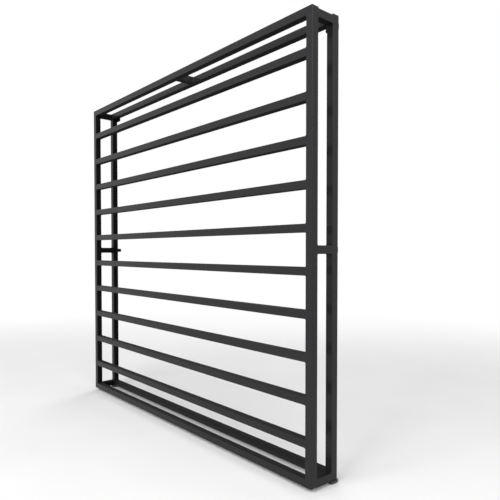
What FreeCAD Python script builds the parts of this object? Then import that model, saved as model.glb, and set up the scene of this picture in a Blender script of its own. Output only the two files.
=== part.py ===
"""Window grille of welded square steel tube.

A barred front frame stands on short returns. They tie it to a rear frame, whose uprights
carry flat lugs drilled for anchors.
All sizes are in millimetres. X runs across the grille, Z is up, the backs of the lugs lie
in the plane Y = 0 and the bars face -Y.
"""
import FreeCAD
import Part
import math
import os

# Overall size
WIDTH = 1485.0
HEIGHT = 1400.0
RETURN_LENGTH = 65.0
RETURN_DROP = 5.0

# Square tube that every rail, upright, bar and return is cut from
TUBE_SIDE = 25.4
TUBE_WALL = 1.5
TUBE_CORNER_R = 1.6

# Outer corners of the front frame, ground round after welding
FRAME_CORNER_R = 4.0

# Bars across the front frame
BAR_PITCH = 127.0
BAR_END_GAP_MIN = 60.0

# Flat lugs welded behind the rear frame and drilled for anchors
LUG_THICKNESS = 4.0
LUG_WIDTH = 16.0
LUG_REACH = 27.0
LUG_INSET = 3.0
LUG_LAP = 3.5
LUG_HOLE_D = 7.0

# Moulded plugs that close the ends of the rear uprights
STEM_LENGTH = 16.0
STEM_WALL = 1.8
STEM_CLEARANCE = 0.15
RIB_HEIGHT = 0.9
RIB_THICKNESS = 1.2
RIB_COUNT = 3
PLUG_HEAD = 3.5
PLUG_ROUNDING = 2.4
FOOT_HEAD = 10.0
FOOT_OVERHANG = 4.0
FOOT_BEVEL = 3.2

# Places that follow from the sizes above
TUBE_BORE = TUBE_SIDE - 2 * TUBE_WALL
HALF_W = WIDTH / 2
HALF_H = HEIGHT / 2
RAIL_Z = HALF_H - TUBE_SIDE / 2
UPRIGHT_X = HALF_W - TUBE_SIDE / 2
INNER_X = HALF_W - TUBE_SIDE
INNER_Z = HALF_H - TUBE_SIDE
REAR_TOP_Z = HALF_H - PLUG_HEAD
REAR_Y = -LUG_THICKNESS - TUBE_SIDE / 2
RETURN_Y = REAR_Y - TUBE_SIDE / 2 - RETURN_LENGTH / 2
FRONT_Y = RETURN_Y - RETURN_LENGTH / 2 - TUBE_SIDE / 2
BAR_GAPS = math.floor((2 * INNER_Z - TUBE_SIDE - 2 * BAR_END_GAP_MIN) / BAR_PITCH)

ORIGIN = FreeCAD.Vector(0, 0, 0)
X_AXIS = FreeCAD.Vector(1, 0, 0)
Y_AXIS = FreeCAD.Vector(0, 1, 0)
Z_AXIS = FreeCAD.Vector(0, 0, 1)


def rounded_square(side, radius):
    """Square face in the XY plane, centred on the origin, with round corners."""
    half = side / 2
    flat = half - radius
    bulge = flat + radius * math.cos(math.pi / 4)
    edges = []
    for turn in range(4):
        start = FreeCAD.Vector(half, -flat, 0)
        end = FreeCAD.Vector(half, flat, 0)
        middle = FreeCAD.Vector(bulge, bulge, 0)
        after = FreeCAD.Vector(flat, half, 0)
        for curve in (Part.LineSegment(start, end), Part.Arc(end, middle, after)):
            edge = curve.toShape()
            edge.rotate(ORIGIN, Z_AXIS, 90 * turn)
            edges.append(edge)
    return Part.Face(Part.Wire(edges))


def prism(side, radius, z_from, z_to):
    """Upright square block with round corners between two heights."""
    face = rounded_square(side, radius).translated(FreeCAD.Vector(0, 0, z_from))
    return face.extrude(FreeCAD.Vector(0, 0, z_to - z_from))


def square_block(side, z_from, z_to):
    """Upright square block with sharp corners between two heights."""
    return Part.makeBox(side, side, z_to - z_from, FreeCAD.Vector(-side / 2, -side / 2, z_from))


def tube(length, axis, x, y, z):
    """Square-cut length of tube, centred on a point and lying along one axis."""
    outside = prism(TUBE_SIDE, TUBE_CORNER_R, -length / 2, length / 2)
    piece = outside.cut(square_block(TUBE_BORE, -length / 2, length / 2))
    if axis == X_AXIS:
        piece.rotate(ORIGIN, Y_AXIS, 90)
    if axis == Y_AXIS:
        piece.rotate(ORIGIN, X_AXIS, 90)
    return piece.translated(FreeCAD.Vector(x, y, z))


def mitre_block(outline):
    """Block through the depth of the front frame, from an outline of (x, z) points."""
    points = [FreeCAD.Vector(x, FRONT_Y - TUBE_SIDE / 2, z) for x, z in outline]
    face = Part.Face(Part.makePolygon(points + points[:1]))
    return face.extrude(FreeCAD.Vector(0, TUBE_SIDE, 0))


def frame_block():
    """Block as large as the front frame, with round corners."""
    lowest = FreeCAD.Vector(-HALF_W, FRONT_Y - TUBE_SIDE / 2, -HALF_H)
    block = Part.makeBox(WIDTH, TUBE_SIDE, HEIGHT, lowest)
    corners = [edge for edge in block.Edges if edge.BoundBox.YLength > TUBE_SIDE / 2]
    return block.makeFillet(FRAME_CORNER_R, corners)


def front_rail(side):
    """Top (side +1) or bottom (side -1) rail of the front frame, mitred at both ends."""
    outer = side * HALF_H
    inner = side * INNER_Z
    outline = [(-HALF_W, outer), (HALF_W, outer), (INNER_X, inner), (-INNER_X, inner)]
    mitre = mitre_block(outline).common(frame_block())
    return tube(WIDTH, X_AXIS, 0, FRONT_Y, side * RAIL_Z).common(mitre)


def front_upright(side):
    """Right (side +1) or left (side -1) upright of the front frame, mitred at both ends."""
    outer = side * HALF_W
    inner = side * INNER_X
    outline = [(outer, -HALF_H), (outer, HALF_H), (inner, INNER_Z), (inner, -INNER_Z)]
    mitre = mitre_block(outline).common(frame_block())
    return tube(HEIGHT, Z_AXIS, side * UPRIGHT_X, FRONT_Y, 0).common(mitre)


def lug(side, z):
    """Round-ended flat lug behind a rear upright, reaching inwards past it."""
    half = LUG_WIDTH / 2
    outer = HALF_W - LUG_INSET
    hole_x = INNER_X - LUG_REACH + half
    corners = [(hole_x, half), (outer, half), (outer, -half), (hole_x, -half)]
    points = [FreeCAD.Vector(x, 0, dz) for x, dz in corners]
    sides = [Part.makeLine(points[i], points[i + 1]) for i in range(3)]
    tip = FreeCAD.Vector(hole_x - half, 0, 0)
    sides.append(Part.Arc(points[3], tip, points[0]).toShape())
    plate = Part.Face(Part.Wire(sides)).extrude(FreeCAD.Vector(0, -LUG_THICKNESS, 0))
    hole = Part.makeCylinder(LUG_HOLE_D / 2, LUG_THICKNESS, FreeCAD.Vector(hole_x, 0, 0), -Y_AXIS)
    plate = plate.cut(hole)
    if side < 0:
        plate = plate.mirror(ORIGIN, X_AXIS)
    return plate.translated(FreeCAD.Vector(0, 0, z))


def plug_stem():
    """Hollow ribbed stem that fills the bore of an upright, hanging below Z = 0."""
    ribs_side = TUBE_BORE - 2 * STEM_CLEARANCE
    core_side = ribs_side - 2 * RIB_HEIGHT
    stem = square_block(core_side, -STEM_LENGTH, 0)
    pitch = STEM_LENGTH / (RIB_COUNT + 1)
    for index in range(RIB_COUNT):
        middle = -pitch * (index + 1)
        rib = square_block(ribs_side, middle - RIB_THICKNESS / 2, middle + RIB_THICKNESS / 2)
        stem = stem.fuse(rib)
    hollow = square_block(core_side - 2 * STEM_WALL, -STEM_LENGTH, -STEM_WALL)
    return stem.cut(hollow)


def rim_edges(head, height):
    """Edges round the outer face of a plug's head, which all lie above its middle."""
    return [edge for edge in head.Edges if edge.BoundBox.ZMin > height / 2]


def top_plug(side):
    """Thin plug with a rounded rim, flush with the sides of a rear upright, in its top end."""
    head = prism(TUBE_SIDE, TUBE_CORNER_R, 0, PLUG_HEAD)
    head = head.makeFillet(PLUG_ROUNDING, rim_edges(head, PLUG_HEAD))
    piece = head.fuse(plug_stem()).removeSplitter()
    return piece.translated(FreeCAD.Vector(side * UPRIGHT_X, REAR_Y, REAR_TOP_Z))


def foot(side):
    """Thick bevelled foot, wider than the tube, in the bottom end of a rear upright."""
    head = prism(TUBE_SIDE + 2 * FOOT_OVERHANG, TUBE_CORNER_R + FOOT_OVERHANG, 0, FOOT_HEAD)
    head = head.makeChamfer(FOOT_BEVEL, rim_edges(head, FOOT_HEAD))
    piece = head.fuse(plug_stem()).removeSplitter()
    piece.rotate(ORIGIN, X_AXIS, 180)
    return piece.translated(FreeCAD.Vector(side * UPRIGHT_X, REAR_Y, -HALF_H))


def front_frame():
    """Mitred outer frame and the bars between its uprights."""
    pieces = {
        "front_top_rail": front_rail(1),
        "front_bottom_rail": front_rail(-1),
        "front_left_upright": front_upright(-1),
        "front_right_upright": front_upright(1),
    }
    for index in range(BAR_GAPS + 1):
        z = BAR_PITCH * (BAR_GAPS / 2 - index)
        pieces[f"bar_{index + 1:02d}"] = tube(2 * INNER_X, X_AXIS, 0, FRONT_Y, z)
    return pieces


def rear_frame():
    """Uprights cut short by the heads of their top plugs, with the rails butted between them."""
    length = REAR_TOP_Z + HALF_H
    middle = (REAR_TOP_Z - HALF_H) / 2
    return {
        "rear_top_rail": tube(2 * INNER_X, X_AXIS, 0, REAR_Y, RAIL_Z),
        "rear_bottom_rail": tube(2 * INNER_X, X_AXIS, 0, REAR_Y, -RAIL_Z),
        "rear_left_upright": tube(length, Z_AXIS, -UPRIGHT_X, REAR_Y, middle),
        "rear_right_upright": tube(length, Z_AXIS, UPRIGHT_X, REAR_Y, middle),
    }


def returns():
    """Short tubes from the front frame to the rear one, named by where they stand."""
    top_corner_z = RAIL_Z - RETURN_DROP
    places = {
        "return_top_left": (-UPRIGHT_X, top_corner_z),
        "return_top_middle": (0, RAIL_Z),
        "return_top_right": (UPRIGHT_X, top_corner_z),
        "return_left_middle": (-UPRIGHT_X, 0),
        "return_right_middle": (UPRIGHT_X, 0),
        "return_bottom_left": (-UPRIGHT_X, -RAIL_Z),
        "return_bottom_right": (UPRIGHT_X, -RAIL_Z),
    }
    return {name: tube(RETURN_LENGTH, Y_AXIS, x, RETURN_Y, z) for name, (x, z) in places.items()}


def fittings():
    """Two lugs to each rear upright, the top one lapping the rail, and the plugs in its ends."""
    top_lug_z = INNER_Z + LUG_LAP - LUG_WIDTH / 2
    pieces = {}
    for side, hand in ((-1, "left"), (1, "right")):
        pieces[f"lug_top_{hand}"] = lug(side, top_lug_z)
        pieces[f"lug_middle_{hand}"] = lug(side, 0)
        pieces[f"top_plug_{hand}"] = top_plug(side)
        pieces[f"foot_{hand}"] = foot(side)
    return pieces


def main():
    """Build every piece and write each to its own file."""
    os.makedirs("parts", exist_ok=True)
    for group in (front_frame, rear_frame, returns, fittings):
        for name, shape in group().items():
            shape.exportStep(f"parts/{name}.step")


main()
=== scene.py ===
"""Looks of a window grille in welded square steel tube, laid out as an add-on.

The tubes and lugs take a black paint, every joint gets its weld bead, and the plugs and
feet get a grained moulded finish. Lengths are in metres.
"""
import collections
import math

import bmesh
import bpy
from bpy.props import FloatProperty
from bpy.props import FloatVectorProperty
from bpy.props import PointerProperty
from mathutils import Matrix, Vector
from mathutils import noise


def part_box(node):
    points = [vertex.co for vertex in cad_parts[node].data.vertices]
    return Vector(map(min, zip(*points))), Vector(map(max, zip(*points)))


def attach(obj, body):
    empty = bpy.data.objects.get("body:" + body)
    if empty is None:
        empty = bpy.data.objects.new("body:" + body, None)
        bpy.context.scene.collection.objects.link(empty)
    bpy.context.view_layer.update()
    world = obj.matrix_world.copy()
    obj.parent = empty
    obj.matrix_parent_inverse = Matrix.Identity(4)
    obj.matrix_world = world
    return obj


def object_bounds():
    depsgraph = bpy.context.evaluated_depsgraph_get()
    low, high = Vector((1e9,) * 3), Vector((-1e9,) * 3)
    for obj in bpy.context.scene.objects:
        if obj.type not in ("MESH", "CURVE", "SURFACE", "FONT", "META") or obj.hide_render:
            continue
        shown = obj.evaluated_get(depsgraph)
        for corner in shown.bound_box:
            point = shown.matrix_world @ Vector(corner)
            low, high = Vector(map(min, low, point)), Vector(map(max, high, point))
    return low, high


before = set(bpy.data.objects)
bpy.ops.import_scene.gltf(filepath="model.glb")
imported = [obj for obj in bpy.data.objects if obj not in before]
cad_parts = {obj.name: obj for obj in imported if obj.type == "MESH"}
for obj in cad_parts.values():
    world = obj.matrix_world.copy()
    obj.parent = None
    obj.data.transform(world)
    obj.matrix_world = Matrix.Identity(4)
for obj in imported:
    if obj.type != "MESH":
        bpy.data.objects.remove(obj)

bl_info = {
    "name": "Welded Window Grille",
    "version": (1, 0, 0),
    "blender": (4, 5, 0),
    "location": "View3D > Sidebar > Grille",
    "description": "Paint, weld beads, moulded plugs and a plain stage for a window grille",
    "category": "Object",
}

CAD_LOW, CAD_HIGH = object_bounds()
CENTRE = (CAD_LOW + CAD_HIGH) / 2

X_AXIS = Vector((1, 0, 0))
Y_AXIS = Vector((0, 1, 0))
Z_AXIS = Vector((0, 0, 1))

# Square tube that the frames, bars and returns are cut from
BAR_LOW, BAR_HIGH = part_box("bar_01")
TUBE_SIDE = BAR_HIGH.z - BAR_LOW.z
HALF_TUBE = TUBE_SIDE / 2
TUBE_CORNER_R = 0.0016

# Outer corners of the front frame, ground round
FRAME_CORNER_R = 0.004

# Mesh of a bead: points across it, sections to each ripple and the fewest sections in all
BEAD_POINTS = 9
RIPPLE_SECTIONS = 5
LEAST_SECTIONS = 8

# How far a bead's edges sink into the faces, and how deep a fillet's root lies in its corner
BEAD_SINK = 0.00012
FILLET_ROOT = 0.0004

# Share by which a bead swells and thins along its run, and the length of such a swell
BEAD_SWELL = 0.14
SWELL_LENGTH = 0.011

# Share of its full size that a bead has at its very ends
BEAD_END = 0.6

# Share of a pitch by which ripples bow, and how many times lower they are once ground
RIPPLE_BOW = 0.55
GRINDING = 6

# Shares of the tube's corner radius: where a bead stops short of a corner, and how far a
# groove's bead lies into the rounded corner beside it
CORNER_STOP = 0.2
GROOVE_SET = 0.3

# Share of the tube's side by which the bead over a top lug runs on along the rail
RAIL_RUN = 0.8

Seam = collections.namedtuple("Seam", "start end outward half_width lift root crown ripple")

# Blotches in the finishes: how wide they are, and the detail and roughness of their outline
Pattern = collections.namedtuple("Pattern", "size detail roughness")
SMEARS = Pattern(0.045, 6.0, 0.62)
MOTES = Pattern(0.0042, 3.0, 0.7)
SCUFFS = Pattern(0.006, 5.0, 0.65)
CLOUDS = Pattern(0.4, 3.0, 0.5)

# Detail and roughness of the fine dimples and grains, whose size can be set
FINE_DETAIL = 2.0
FINE_ROUGHNESS = 0.5

NONE_TO_FULL = (0.0, 1.0)

# Paint: how far a face leans where it starts to turn matt and take painted shade, or to take dust,
# and where it is wholly so
DULL_AND_SHADE_LEAN = (0.45, 0.9)
DUST_LEAN = (0.5, 0.95)

# Paint: strengths of a pattern between which its effect comes in, and how strong the effect gets
SMEAR_LEVELS = (0.3, 0.75)
SMEAR_GLOSS = (0.75, 1.5)
SETTLED_LEVELS = (0.35, 0.75)
SETTLED_DUST = (0.0, 0.03)
MOTE_LEVELS = (0.6, 0.78)
MOTE_DUST = (0.0, 0.07)
PAINT_IOR = 1.34
PAINT_NAME = "gloss_black_paint"

# Plugs and feet: the same for their scuffs' colour and roughness
SCUFF_LEVELS = (0.4, 0.75)
SCUFF_SHADES = (0.8, 1.9)
RUBBED_LEVELS = (0.3, 0.7)
RUBBED_ROUGHNESS = (0.85, 1.3)

# Floor: how far it runs each way, its cells, its gap under the feet, where it fades to white,
# and how its clouds shade it
FLOOR_REACH = 9.0
FLOOR_CELLS = 8
FLOOR_GAP = 0.0003
FLOOR_FADE = (1.2, 4.0)
CLOUD_LEVELS = (0.3, 0.7)
CLOUD_SHADES = (0.97, 1.0)

# Where each soft lamp hangs, and how wide it is
KEY_PLACE = Vector((0.7, -3.3, 2.3))
KEY_WIDTH = 2.4
FILL_PLACE = Vector((3.4, -0.6, 1.6))
FILL_WIDTH = 2.2
BACK_PLACE = Vector((-2.4, 2.8, 1.9))
BACK_WIDTH = 2.2

# Surroundings as they are seen directly
WHITE = (1.0, 1.0, 1.0)
WHITE_STRENGTH = 1.0


class GrillePaint(bpy.types.PropertyGroup):
    """Black paint on the tubes, lugs and welds."""

    color: FloatVectorProperty(
        name="Paint colour",
        description="Colour of the paint on the front and outer faces",
        subtype="COLOR",
        min=0.0,
        max=1.0,
        default=(0.0222, 0.0222, 0.0237),
    )
    # Far darker than the paint's colour: painted shade on level and inward faces
    painted_shade_color: FloatVectorProperty(
        name="Dull colour",
        description="Colour of the paint on faces that lie level or turn in to the opening",
        subtype="COLOR",
        min=0.0,
        max=1.0,
        default=(0.002, 0.002, 0.0023),
    )
    dust_color: FloatVectorProperty(
        name="Dust colour",
        description="Colour of the thin dust in the paint's film",
        subtype="COLOR",
        min=0.0,
        max=1.0,
        default=(0.16, 0.155, 0.145),
    )
    gloss: FloatProperty(
        name="Gloss roughness",
        description="Roughness of the clean paint",
        subtype="FACTOR",
        min=0.0,
        max=1.0,
        default=0.16,
    )
    dull_roughness: FloatProperty(
        name="Dull roughness",
        description="Roughness of the paint on faces that lie level or turn in to the opening",
        subtype="FACTOR",
        min=0.0,
        max=1.0,
        default=0.85,
    )
    sheen: FloatProperty(
        name="Sheen",
        description="Specular level of the paint",
        subtype="FACTOR",
        min=0.0,
        max=1.0,
        default=0.21,
    )
    peel_size: FloatProperty(
        name="Orange peel size",
        description="Width of the dimples that the sprayed paint dries with",
        unit="LENGTH",
        default=0.0026,
    )
    peel_depth: FloatProperty(
        name="Orange peel depth",
        description="Depth of the dimples in the paint",
        unit="LENGTH",
        default=0.000022,
    )


class GrilleWelds(bpy.types.PropertyGroup):
    """Beads along the welded joints."""

    leg: FloatProperty(
        name="Fillet leg",
        description="How far a fillet bead reaches along each face of its corner",
        unit="LENGTH",
        default=0.0025,
    )
    small_leg: FloatProperty(
        name="Small fillet leg",
        description="How far a fillet bead reaches where its corner has little room",
        unit="LENGTH",
        default=0.0021,
    )
    groove_width: FloatProperty(
        name="Groove bead width",
        description="Width of the bead that fills the groove between flush faces",
        unit="LENGTH",
        default=0.0046,
    )
    crown: FloatProperty(
        name="Crown",
        description="How far a bead bulges above its edges",
        unit="LENGTH",
        default=0.00035,
    )
    dressed_crown: FloatProperty(
        name="Dressed crown",
        description="How far a bead on the front face stands proud after grinding",
        unit="LENGTH",
        default=0.00015,
    )
    ripple_pitch: FloatProperty(
        name="Ripple pitch",
        description="Distance from one ripple of a bead to the next",
        unit="LENGTH",
        default=0.0016,
    )
    ripple_depth: FloatProperty(
        name="Ripple depth",
        description="Height of the ripples on a bead",
        unit="LENGTH",
        default=0.0002,
    )


class GrillePlugs(bpy.types.PropertyGroup):
    """Moulded plugs and feet."""

    color: FloatVectorProperty(
        name="Plug colour",
        description="Colour of the moulded plugs and feet",
        subtype="COLOR",
        min=0.0,
        max=1.0,
        default=(0.018, 0.018, 0.019),
    )
    roughness: FloatProperty(
        name="Plug roughness",
        description="Roughness of the moulded surface",
        subtype="FACTOR",
        min=0.0,
        max=1.0,
        default=0.5,
    )
    grain_size: FloatProperty(
        name="Grain size",
        description="Width of the grains in the moulded surface",
        unit="LENGTH",
        default=0.0007,
    )
    grain_depth: FloatProperty(
        name="Grain depth",
        description="Depth of the grains in the moulded surface",
        unit="LENGTH",
        default=0.00005,
    )


class GrilleStage(bpy.types.PropertyGroup):
    """Floor, light and camera."""

    floor_color: FloatVectorProperty(
        name="Floor colour",
        description="Colour of the pale floor",
        subtype="COLOR",
        min=0.0,
        max=1.0,
        default=(0.86, 0.86, 0.86),
    )
    ambient: FloatProperty(
        name="Ambient light",
        description="Strength of the even light from all round",
        default=0.5,
    )
    key_power: FloatProperty(
        name="Key power",
        description="Power of the large soft lamp in front of the grille",
        unit="POWER",
        default=120.0,
    )
    fill_power: FloatProperty(
        name="Fill power",
        description="Power of the soft lamp beside the grille",
        unit="POWER",
        default=50.0,
    )
    back_power: FloatProperty(
        name="Back power",
        description="Power of the soft lamp behind the grille",
        unit="POWER",
        default=50.0,
    )
    lens: FloatProperty(
        name="Lens",
        description="Focal length of the camera in millimetres",
        unit="CAMERA",
        default=36.716,
    )
    camera_place: FloatVectorProperty(
        name="Camera place",
        description="Where the camera stands",
        subtype="TRANSLATION",
        unit="LENGTH",
        default=(1.7389, -1.2101, -0.0042),
    )
    camera_turn: FloatProperty(
        name="Camera turn",
        description="How far the camera is turned from facing the grille squarely",
        subtype="ANGLE",
        unit="ROTATION",
        default=math.radians(49.345),
    )
    camera_tilt: FloatProperty(
        name="Camera tilt",
        description="How far the camera looks up from level",
        subtype="ANGLE",
        unit="ROTATION",
        default=math.radians(-1.353),
    )
    camera_rise: FloatProperty(
        name="Camera rise",
        description="How far the lens is raised, as a share of the picture's width",
        default=0.0263,
    )


def find_socket(sockets, key):
    """Socket of a node by its identifier, or else by its name."""
    for socket in sockets:
        if socket.identifier == key:
            return socket
    return sockets[key]


def add_node(tree, kind, inputs=None, **settings):
    """Add a shader node, and feed its inputs with plain values or other nodes' sockets."""
    made = tree.nodes.new(kind)
    for name, value in settings.items():
        setattr(made, name, value)
    for key, value in (inputs or {}).items():
        socket = find_socket(made.inputs, key)
        if isinstance(value, bpy.types.NodeSocket):
            tree.links.new(value, socket)
        else:
            socket.default_value = value
    return made


def noise_field(tree, coordinates, pattern):
    """Noise in the range 0 to 1 with blotches of one pattern."""
    inputs = {
        "Vector": coordinates,
        "Scale": 1 / pattern.size,
        "Detail": pattern.detail,
        "Roughness": pattern.roughness,
    }
    return add_node(tree, "ShaderNodeTexNoise", inputs).outputs["Fac"]


def remap(tree, value, source, target, smooth=False):
    """Value carried from one range to another, held at the ends."""
    inputs = {
        "Value": value,
        "From Min": source[0],
        "From Max": source[1],
        "To Min": target[0],
        "To Max": target[1],
    }
    shape = "SMOOTHSTEP" if smooth else "LINEAR"
    return add_node(tree, "ShaderNodeMapRange", inputs, interpolation_type=shape).outputs["Result"]


def calculate(tree, operation, first, second=0.0):
    """Result of one sum on two values."""
    inputs = {"Value": first, "Value_001": second}
    return add_node(tree, "ShaderNodeMath", inputs, operation=operation).outputs["Value"]


def mix_colors(tree, factor, first, second):
    """Colour between two others."""
    inputs = {"Factor_Float": factor, "A_Color": first, "B_Color": second}
    mixed = add_node(tree, "ShaderNodeMix", inputs, data_type="RGBA")
    return find_socket(mixed.outputs, "Result_Color")


def mix_values(tree, factor, first, second):
    """Number between two others."""
    inputs = {"Factor_Float": factor, "A_Float": first, "B_Float": second}
    mixed = add_node(tree, "ShaderNodeMix", inputs, data_type="FLOAT")
    return find_socket(mixed.outputs, "Result_Float")


def roughened(tree, coordinates, size, depth):
    """Normal of a surface with fine dimples or grains of one size and depth."""
    height = noise_field(tree, coordinates, Pattern(size, FINE_DETAIL, FINE_ROUGHNESS))
    inputs = {"Height": height, "Strength": 1.0, "Distance": depth}
    return add_node(tree, "ShaderNodeBump", inputs).outputs["Normal"]


def opaque(color):
    """Colour with full cover."""
    return (*color, 1.0)


def new_material(name):
    """Empty node material, its tree and the place of a point on the object."""
    material = bpy.data.materials.new(name)
    material.use_nodes = True
    tree = material.node_tree
    tree.nodes.clear()
    return material, tree, add_node(tree, "ShaderNodeTexCoord").outputs["Object"]


def dull_and_shaded_faces(tree, coordinates, facing):
    """1 on faces that lie level or turn in to the opening, which dry matt and get painted shade,
    else 0.
    """
    place = add_node(tree, "ShaderNodeSeparateXYZ", {"Vector": coordinates}).outputs
    level = calculate(tree, "ABSOLUTE", facing["Z"])
    hand = calculate(tree, "SIGN", place["X"])
    outward = calculate(tree, "MULTIPLY", hand, facing["X"])
    inward = calculate(tree, "MULTIPLY", outward, -1.0)
    lean = calculate(tree, "MAXIMUM", level, inward)
    return remap(tree, lean, DULL_AND_SHADE_LEAN, NONE_TO_FULL, smooth=True)


def thin_dust(tree, coordinates, facing, smears):
    """Share of dust in the film: motes all over, and some that settled on upward faces."""
    motes = noise_field(tree, coordinates, MOTES)
    mote_dust = remap(tree, motes, MOTE_LEVELS, MOTE_DUST)
    upward = remap(tree, facing["Z"], DUST_LEAN, NONE_TO_FULL, smooth=True)
    settled = remap(tree, smears, SETTLED_LEVELS, SETTLED_DUST)
    settled = calculate(tree, "MULTIPLY", settled, upward)
    return calculate(tree, "ADD", mote_dust, settled)


def paint_material(paint):
    """Black paint: orange peel, smears, thin dust, and matt level and inward faces with painted
    shade.
    """
    if PAINT_NAME in bpy.data.materials:
        return bpy.data.materials[PAINT_NAME]
    material, tree, coordinates = new_material(PAINT_NAME)
    normal = add_node(tree, "ShaderNodeNewGeometry").outputs["Normal"]
    facing = add_node(tree, "ShaderNodeSeparateXYZ", {"Vector": normal}).outputs
    smears = noise_field(tree, coordinates, SMEARS)
    dull_and_shaded = dull_and_shaded_faces(tree, coordinates, facing)
    dust = thin_dust(tree, coordinates, facing, smears)

    # Level and inward faces take a far darker colour than the paint: painted shade
    film = mix_colors(tree, dull_and_shaded, opaque(paint.color), opaque(paint.painted_shade_color))
    smeared = remap(tree, smears, SMEAR_LEVELS, [paint.gloss * share for share in SMEAR_GLOSS])
    roughness = mix_values(tree, dull_and_shaded, smeared, paint.dull_roughness)
    inputs = {
        "Base Color": mix_colors(tree, dust, film, opaque(paint.dust_color)),
        "Roughness": calculate(tree, "ADD", roughness, dust),
        "IOR": PAINT_IOR,
        "Specular IOR Level": paint.sheen,
        "Normal": roughened(tree, coordinates, paint.peel_size, paint.peel_depth),
    }
    surface = add_node(tree, "ShaderNodeBsdfPrincipled", inputs).outputs["BSDF"]
    add_node(tree, "ShaderNodeOutputMaterial", {"Surface": surface})
    return material


def plug_material(plugs):
    """Black moulded plastic with a fine grain and scuffed patches."""
    material, tree, coordinates = new_material("moulded_black_plastic")
    scuffs = noise_field(tree, coordinates, SCUFFS)
    scuffed = remap(tree, scuffs, SCUFF_LEVELS, NONE_TO_FULL)
    clean_color, worn_color = [Vector(plugs.color) * shade for shade in SCUFF_SHADES]
    rubbed = [plugs.roughness * share for share in RUBBED_ROUGHNESS]
    inputs = {
        "Base Color": mix_colors(tree, scuffed, opaque(clean_color), opaque(worn_color)),
        "Roughness": remap(tree, scuffs, RUBBED_LEVELS, rubbed),
        "Normal": roughened(tree, coordinates, plugs.grain_size, plugs.grain_depth),
    }
    surface = add_node(tree, "ShaderNodeBsdfPrincipled", inputs).outputs["BSDF"]
    add_node(tree, "ShaderNodeOutputMaterial", {"Surface": surface})
    return material


def dress(node_name, material):
    """Give a solid of the frame its one material."""
    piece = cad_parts[node_name]
    piece.data.materials.clear()
    piece.data.materials.append(material)


def is_plug(node_name):
    """Whether a solid is one of the moulded plugs and feet."""
    return node_name.startswith(("top_plug", "foot"))


def nodes_named(start):
    """Names of the solids that start alike, in order."""
    return [name for name in sorted(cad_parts) if name.startswith(start)]


def side_x(node_name, direction):
    """Place along X of the side of a solid that faces left or right."""
    low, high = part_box(node_name)
    return high.x if direction.x > 0 else low.x


def side_z(node_name, direction):
    """Place along Z of the side of a solid that faces up or down."""
    low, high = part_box(node_name)
    return high.z if direction.z > 0 else low.z


def fillet(welds, start, end, first_face, second_face, leg):
    """Bead in the corner between two faces, each given by its direction out of the corner."""
    outward = (first_face + second_face).normalized()
    half_width = leg / math.sqrt(2)
    lift = half_width - BEAD_SINK
    return Seam(start, end, outward, half_width, lift, -FILLET_ROOT, welds.crown, welds.ripple_depth)


def groove(welds, start, end, outward):
    """Bead in the groove along two flush faces, ground nearly flat where it faces the front."""
    dressed = outward == -Y_AXIS
    crown = welds.dressed_crown if dressed else welds.crown
    ripple = welds.ripple_depth / GRINDING if dressed else welds.ripple_depth
    half_width = welds.groove_width / 2
    return Seam(start, end, outward, half_width, -BEAD_SINK, -half_width, crown, ripple)


def butt_joint(welds, centre, stand, fillets, grooves, small_fillets=()):
    """Seams round the square end of a tube that stands on a face.

    stand points from the face along the tube. fillets and small_fillets are the sides of
    the tube with open face beyond them, and grooves the sides flush with what it stands on.
    """
    reach = HALF_TUBE - TUBE_CORNER_R * CORNER_STOP
    seams = []
    for sides, leg in ((fillets, welds.leg), (small_fillets, welds.small_leg)):
        for side in sides:
            corner = centre + side * HALF_TUBE
            along = stand.cross(side) * reach
            seams.append(fillet(welds, corner - along, corner + along, side, stand, leg))
    for side in grooves:
        middle = centre + side * HALF_TUBE - stand * TUBE_CORNER_R * GROOVE_SET
        along = stand.cross(side) * reach
        seams.append(groove(welds, middle - along, middle + along, side))
    return seams


def level_joints(welds, node_name, fillets, grooves):
    """Seams round both ends of a tube that lies across the grille."""
    low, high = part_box(node_name)
    middle = (low + high) / 2
    seams = []
    for end, stand in ((low.x, X_AXIS), (high.x, -X_AXIS)):
        centre = Vector((end, middle.y, middle.z))
        seams += butt_joint(welds, centre, stand, fillets, grooves)
    return seams


def return_sides(node_name, outer):
    """Sides of a return for butt_joint, at its front end and at its rear end."""
    across = ((X_AXIS, -X_AXIS), (Z_AXIS, -Z_AXIS))
    upright = ((Z_AXIS, -Z_AXIS), (X_AXIS, -X_AXIS))
    if node_name == "return_top_middle":
        return across, across
    if node_name.endswith("_middle"):
        return upright, upright
    if node_name.startswith("return_top"):
        return ((-outer, -Z_AXIS), (outer,), (Z_AXIS,)), ((-outer, -Z_AXIS), (outer,))
    return ((-outer, Z_AXIS), (outer, -Z_AXIS)), ((-outer, Z_AXIS), (outer,))


def end_taper(along, length, half_width):
    """Share of its full size that a bead has near its ends."""
    near = max(0.0, min(along, length - along)) / half_width
    if near >= 1:
        return 1.0
    return BEAD_END + (1 - BEAD_END) * math.sqrt(1 - (1 - near) ** 2)


def bead_ring(seam, direction, along, length, pitch):
    """Points round one section of a bead, the root first."""
    across = seam.outward.cross(direction)
    place = seam.start + direction * along
    taper = end_taper(along, length, seam.half_width)
    swell = 1 + BEAD_SWELL * noise.noise(place / SWELL_LENGTH)
    ring = [place + seam.outward * seam.root]
    for index in range(BEAD_POINTS):
        share = 2 * index / (BEAD_POINTS - 1) - 1
        arch = 1 - share * share
        phase = (along / pitch + RIPPLE_BOW * share * share) % 1
        ripple = seam.ripple * (1 - (2 * phase - 1) ** 2) * arch
        height = seam.root + (seam.lift - seam.root) * taper + (seam.crown * arch + ripple) * taper
        sideways = seam.half_width * share * taper * swell
        ring.append(place + across * sideways + seam.outward * height * swell)
    return ring


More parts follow.
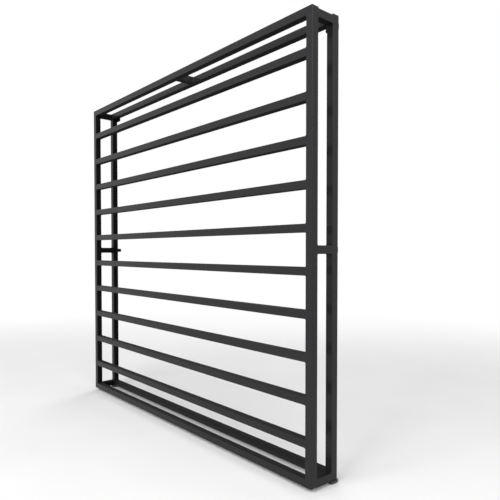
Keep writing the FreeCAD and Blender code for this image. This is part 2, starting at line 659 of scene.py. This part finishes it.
def add_bead(mesh, seam, pitch):
    """Build one closed bead into a mesh."""
    length = (seam.end - seam.start).length
    direction = (seam.end - seam.start) / length
    sections = max(LEAST_SECTIONS, round(length / pitch * RIPPLE_SECTIONS))
    rings = []
    for section in range(sections + 1):
        points = bead_ring(seam, direction, length * section / sections, length, pitch)
        rings.append([mesh.verts.new(point) for point in points])
    count = len(rings[0])
    for before, after in zip(rings, rings[1:]):
        for index in range(count):
            following = (index + 1) % count
            mesh.faces.new((before[index], before[following], after[following], after[index]))
    mesh.faces.new(reversed(rings[0]))
    mesh.faces.new(rings[-1])


def weld_piece(context, name, seams):
    """Make one piece of painted beads that rides on the frame."""
    scene = context.scene
    mesh = bmesh.new()
    for seam in seams:
        add_bead(mesh, seam, scene.grille_welds.ripple_pitch)
    bmesh.ops.recalc_face_normals(mesh, faces=mesh.faces)
    for face in mesh.faces:
        face.smooth = True
    data = bpy.data.meshes.new(name)
    mesh.to_mesh(data)
    mesh.free()
    data.materials.append(paint_material(scene.grille_paint))
    piece = bpy.data.objects.new(name, data)
    scene.collection.objects.link(piece)
    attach(piece, "root")


class GRILLE_OT_paint_tubes(bpy.types.Operator):
    """Paint every tube and lug of the grille"""

    bl_idname = "grille.paint_tubes"
    bl_label = "Paint Tubes"

    def execute(self, context):
        material = paint_material(context.scene.grille_paint)
        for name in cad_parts:
            if not is_plug(name):
                dress(name, material)
        return {"FINISHED"}


class GRILLE_OT_finish_plugs(bpy.types.Operator):
    """Give the plugs and feet their moulded finish"""

    bl_idname = "grille.finish_plugs"
    bl_label = "Finish Plugs and Feet"

    def execute(self, context):
        material = plug_material(context.scene.grille_plugs)
        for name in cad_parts:
            if is_plug(name):
                dress(name, material)
        return {"FINISHED"}


class GRILLE_OT_weld_bars(bpy.types.Operator):
    """Weld both ends of every bar to the front uprights"""

    bl_idname = "grille.weld_bars"
    bl_label = "Weld Bars"

    def execute(self, context):
        welds = context.scene.grille_welds
        seams = []
        for name in nodes_named("bar_"):
            seams += level_joints(welds, name, (Z_AXIS, -Z_AXIS), (Y_AXIS, -Y_AXIS))
        weld_piece(context, "bar_welds", seams)
        return {"FINISHED"}


class GRILLE_OT_weld_corners(bpy.types.Operator):
    """Weld the mitres of the front frame, inside the corner and across the front"""

    bl_idname = "grille.weld_corners"
    bl_label = "Weld Front Corners"

    def execute(self, context):
        welds = context.scene.grille_welds
        low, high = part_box("front_top_rail")
        inset = Y_AXIS * TUBE_CORNER_R
        seams = []
        for across, upright in ((-X_AXIS, "front_left_upright"), (X_AXIS, "front_right_upright")):
            for rise, rail in ((-Z_AXIS, "front_bottom_rail"), (Z_AXIS, "front_top_rail")):
                inner_x = side_x(upright, -across)
                inner_z = side_z(rail, -rise)
                front = Vector((inner_x, low.y, inner_z))
                back = Vector((inner_x, high.y, inner_z))
                seams.append(fillet(welds, front + inset, back - inset, -across, -rise, welds.leg))
                diagonal = across + rise
                start = front + diagonal * TUBE_CORNER_R
                end = front + diagonal * (TUBE_SIDE - FRAME_CORNER_R)
                seams.append(groove(welds, start, end, -Y_AXIS))
        weld_piece(context, "corner_welds", seams)
        return {"FINISHED"}


class GRILLE_OT_weld_returns(bpy.types.Operator):
    """Weld both ends of every return to the front and rear frames"""

    bl_idname = "grille.weld_returns"
    bl_label = "Weld Returns"

    def execute(self, context):
        welds = context.scene.grille_welds
        seams = []
        for name in nodes_named("return_"):
            low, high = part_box(name)
            middle = (low + high) / 2
            front = Vector((middle.x, low.y, middle.z))
            rear = Vector((middle.x, high.y, middle.z))
            outer = X_AXIS if middle.x > CENTRE.x else -X_AXIS
            at_front, at_rear = return_sides(name, outer)
            seams += butt_joint(welds, front, Y_AXIS, *at_front)
            seams += butt_joint(welds, rear, -Y_AXIS, *at_rear)
        weld_piece(context, "return_welds", seams)
        return {"FINISHED"}


class GRILLE_OT_weld_rear_rails(bpy.types.Operator):
    """Weld the ends of the rear rails between the rear uprights"""

    bl_idname = "grille.weld_rear_rails"
    bl_label = "Weld Rear Rails"

    def execute(self, context):
        welds = context.scene.grille_welds
        seams = level_joints(welds, "rear_top_rail", (-Z_AXIS,), (Y_AXIS,))
        seams += level_joints(welds, "rear_bottom_rail", (Z_AXIS,), (Y_AXIS,))
        weld_piece(context, "rear_rail_welds", seams)
        return {"FINISHED"}


class GRILLE_OT_weld_lugs(bpy.types.Operator):
    """Weld the lugs to the backs of the rear uprights"""

    bl_idname = "grille.weld_lugs"
    bl_label = "Weld Lugs"

    def execute(self, context):
        welds = context.scene.grille_welds
        rail_under = side_z("rear_top_rail", -Z_AXIS)
        seams = []
        for hand, outer in (("left", -X_AXIS), ("right", X_AXIS)):
            inner_x = side_x(f"rear_{hand}_upright", -outer)
            for row in ("top", "middle"):
                name = f"lug_{row}_{hand}"
                low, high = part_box(name)
                outer_x = side_x(name, outer)
                inside_low = Vector((inner_x, low.y, low.z))
                inside_high = Vector((inner_x, low.y, min(high.z, rail_under)))
                seams.append(fillet(welds, inside_low, inside_high, -outer, -Y_AXIS, welds.leg))
                for edge, rise in ((low.z, -Z_AXIS), (high.z, Z_AXIS)):
                    start = Vector((inner_x, low.y, edge)) + outer * TUBE_CORNER_R
                    if edge > rail_under:
                        start -= outer * TUBE_SIDE * RAIL_RUN
                    end = Vector((outer_x, low.y, edge))
                    seams.append(fillet(welds, start, end, rise, Y_AXIS, welds.small_leg))
        weld_piece(context, "lug_welds", seams)
        return {"FINISHED"}


def seen_directly(tree):
    """1 for rays from the camera, from gloss and through clear things, and 0 for soft light."""
    path = add_node(tree, "ShaderNodeLightPath").outputs
    seen = calculate(tree, "MAXIMUM", path["Is Camera Ray"], path["Is Glossy Ray"])
    return calculate(tree, "MAXIMUM", seen, path["Is Transmission Ray"])


def floor_material(stage):
    """Pale floor that keeps shadows near the grille and runs out to white further off."""
    material, tree, coordinates = new_material("pale_floor")
    inputs = {"Vector": coordinates}
    distance = add_node(tree, "ShaderNodeVectorMath", inputs, operation="LENGTH").outputs["Value"]
    far = remap(tree, distance, FLOOR_FADE, NONE_TO_FULL, smooth=True)
    shade = remap(tree, noise_field(tree, coordinates, CLOUDS), CLOUD_LEVELS, CLOUD_SHADES)
    inputs = {"Factor_Float": 1.0, "A_Color": opaque(stage.floor_color), "B_Color": shade}
    clouded = add_node(tree, "ShaderNodeMix", inputs, data_type="RGBA", blend_type="MULTIPLY")
    color = find_socket(clouded.outputs, "Result_Color")
    near_floor = add_node(tree, "ShaderNodeBsdfDiffuse", {"Color": color}).outputs["BSDF"]
    white = add_node(tree, "ShaderNodeEmission").outputs["Emission"]
    factor = calculate(tree, "MULTIPLY", far, seen_directly(tree))
    inputs = {"Fac": factor, "Shader": near_floor, "Shader_001": white}
    surface = add_node(tree, "ShaderNodeMixShader", inputs).outputs["Shader"]
    add_node(tree, "ShaderNodeOutputMaterial", {"Surface": surface})
    return material


def add_floor(context):
    """Lay the floor under the feet."""
    mesh = bmesh.new()
    bmesh.ops.create_grid(mesh, x_segments=FLOOR_CELLS, y_segments=FLOOR_CELLS, size=FLOOR_REACH)
    data = bpy.data.meshes.new("floor")
    mesh.to_mesh(data)
    mesh.free()
    data.materials.append(floor_material(context.scene.grille_stage))
    floor = bpy.data.objects.new("floor", data)
    floor.location.z = CAD_LOW.z - FLOOR_GAP
    context.scene.collection.objects.link(floor)


def add_softbox(context, name, place, width, power):
    """Hang a square soft lamp that faces the grille."""
    lamp = bpy.data.lights.new(name, "AREA")
    lamp.shape = "SQUARE"
    lamp.size = width
    lamp.energy = power
    holder = bpy.data.objects.new(name, lamp)
    holder.location = place
    holder.rotation_euler = (CENTRE - place).to_track_quat("-Z", "Y").to_euler()
    context.scene.collection.objects.link(holder)


def light_world(context):
    """White surroundings, with even soft light from them."""
    world = bpy.data.worlds.new("white_surroundings")
    world.use_nodes = True
    tree = world.node_tree
    tree.nodes.clear()
    ambient = context.scene.grille_stage.ambient
    strength = mix_values(tree, seen_directly(tree), ambient, WHITE_STRENGTH)
    inputs = {"Color": opaque(WHITE), "Strength": strength}
    background = add_node(tree, "ShaderNodeBackground", inputs).outputs["Background"]
    add_node(tree, "ShaderNodeOutputWorld", {"Surface": background})
    context.scene.world = world


def add_camera(context):
    """Stand the camera to the right of the grille, level with its middle."""
    stage = context.scene.grille_stage
    data = bpy.data.cameras.new("camera")
    data.lens = stage.lens
    data.shift_y = stage.camera_rise
    camera = bpy.data.objects.new("camera", data)
    camera.location = stage.camera_place
    camera.rotation_euler = (math.pi / 2 + stage.camera_tilt, 0.0, stage.camera_turn)
    context.scene.collection.objects.link(camera)
    context.scene.camera = camera


class GRILLE_OT_set_stage(bpy.types.Operator):
    """Set the floor, the lamps, the surroundings and the camera"""

    bl_idname = "grille.set_stage"
    bl_label = "Set Stage"

    def execute(self, context):
        stage = context.scene.grille_stage
        add_floor(context)
        add_softbox(context, "key_lamp", KEY_PLACE, KEY_WIDTH, stage.key_power)
        add_softbox(context, "fill_lamp", FILL_PLACE, FILL_WIDTH, stage.fill_power)
        add_softbox(context, "back_lamp", BACK_PLACE, BACK_WIDTH, stage.back_power)
        light_world(context)
        add_camera(context)
        context.scene.view_settings.view_transform = "Standard"
        return {"FINISHED"}


class GRILLE_PT_panel(bpy.types.Panel):
    """Sizes, colours and steps of the grille"""

    bl_idname = "GRILLE_PT_panel"
    bl_label = "Window Grille"
    bl_space_type = "VIEW_3D"
    bl_region_type = "UI"
    bl_category = "Grille"

    def draw(self, context):
        scene = context.scene
        for title, group in (
            ("Paint", scene.grille_paint),
            ("Welds", scene.grille_welds),
            ("Plugs and feet", scene.grille_plugs),
            ("Stage", scene.grille_stage),
        ):
            block = self.layout.box()
            block.label(text=title)
            for key in group.__annotations__:
                block.prop(group, key)
        for step in STEPS:
            self.layout.operator(step.bl_idname)


STEPS = (
    GRILLE_OT_paint_tubes,
    GRILLE_OT_finish_plugs,
    GRILLE_OT_weld_bars,
    GRILLE_OT_weld_corners,
    GRILLE_OT_weld_returns,
    GRILLE_OT_weld_rear_rails,
    GRILLE_OT_weld_lugs,
    GRILLE_OT_set_stage,
)
GROUPS = (GrillePaint, GrilleWelds, GrillePlugs, GrilleStage)
CLASSES = (*GROUPS, *STEPS, GRILLE_PT_panel)


def register():
    """Register the classes and hang the settings on the scene."""
    for kind in CLASSES:
        bpy.utils.register_class(kind)
    bpy.types.Scene.grille_paint = PointerProperty(type=GrillePaint)
    bpy.types.Scene.grille_welds = PointerProperty(type=GrilleWelds)
    bpy.types.Scene.grille_plugs = PointerProperty(type=GrillePlugs)
    bpy.types.Scene.grille_stage = PointerProperty(type=GrilleStage)


def unregister():
    """Take the settings off the scene and unregister the classes."""
    del bpy.types.Scene.grille_stage
    del bpy.types.Scene.grille_plugs
    del bpy.types.Scene.grille_welds
    del bpy.types.Scene.grille_paint
    for kind in reversed(CLASSES):
        bpy.utils.unregister_class(kind)


def main():
    """Dress the frame step by step."""
    register()
    bpy.ops.grille.paint_tubes()
    bpy.ops.grille.finish_plugs()
    bpy.ops.grille.weld_bars()
    bpy.ops.grille.weld_corners()
    bpy.ops.grille.weld_returns()
    bpy.ops.grille.weld_rear_rails()
    bpy.ops.grille.weld_lugs()
    bpy.ops.grille.set_stage()


if __name__ == "__main__":
    main()
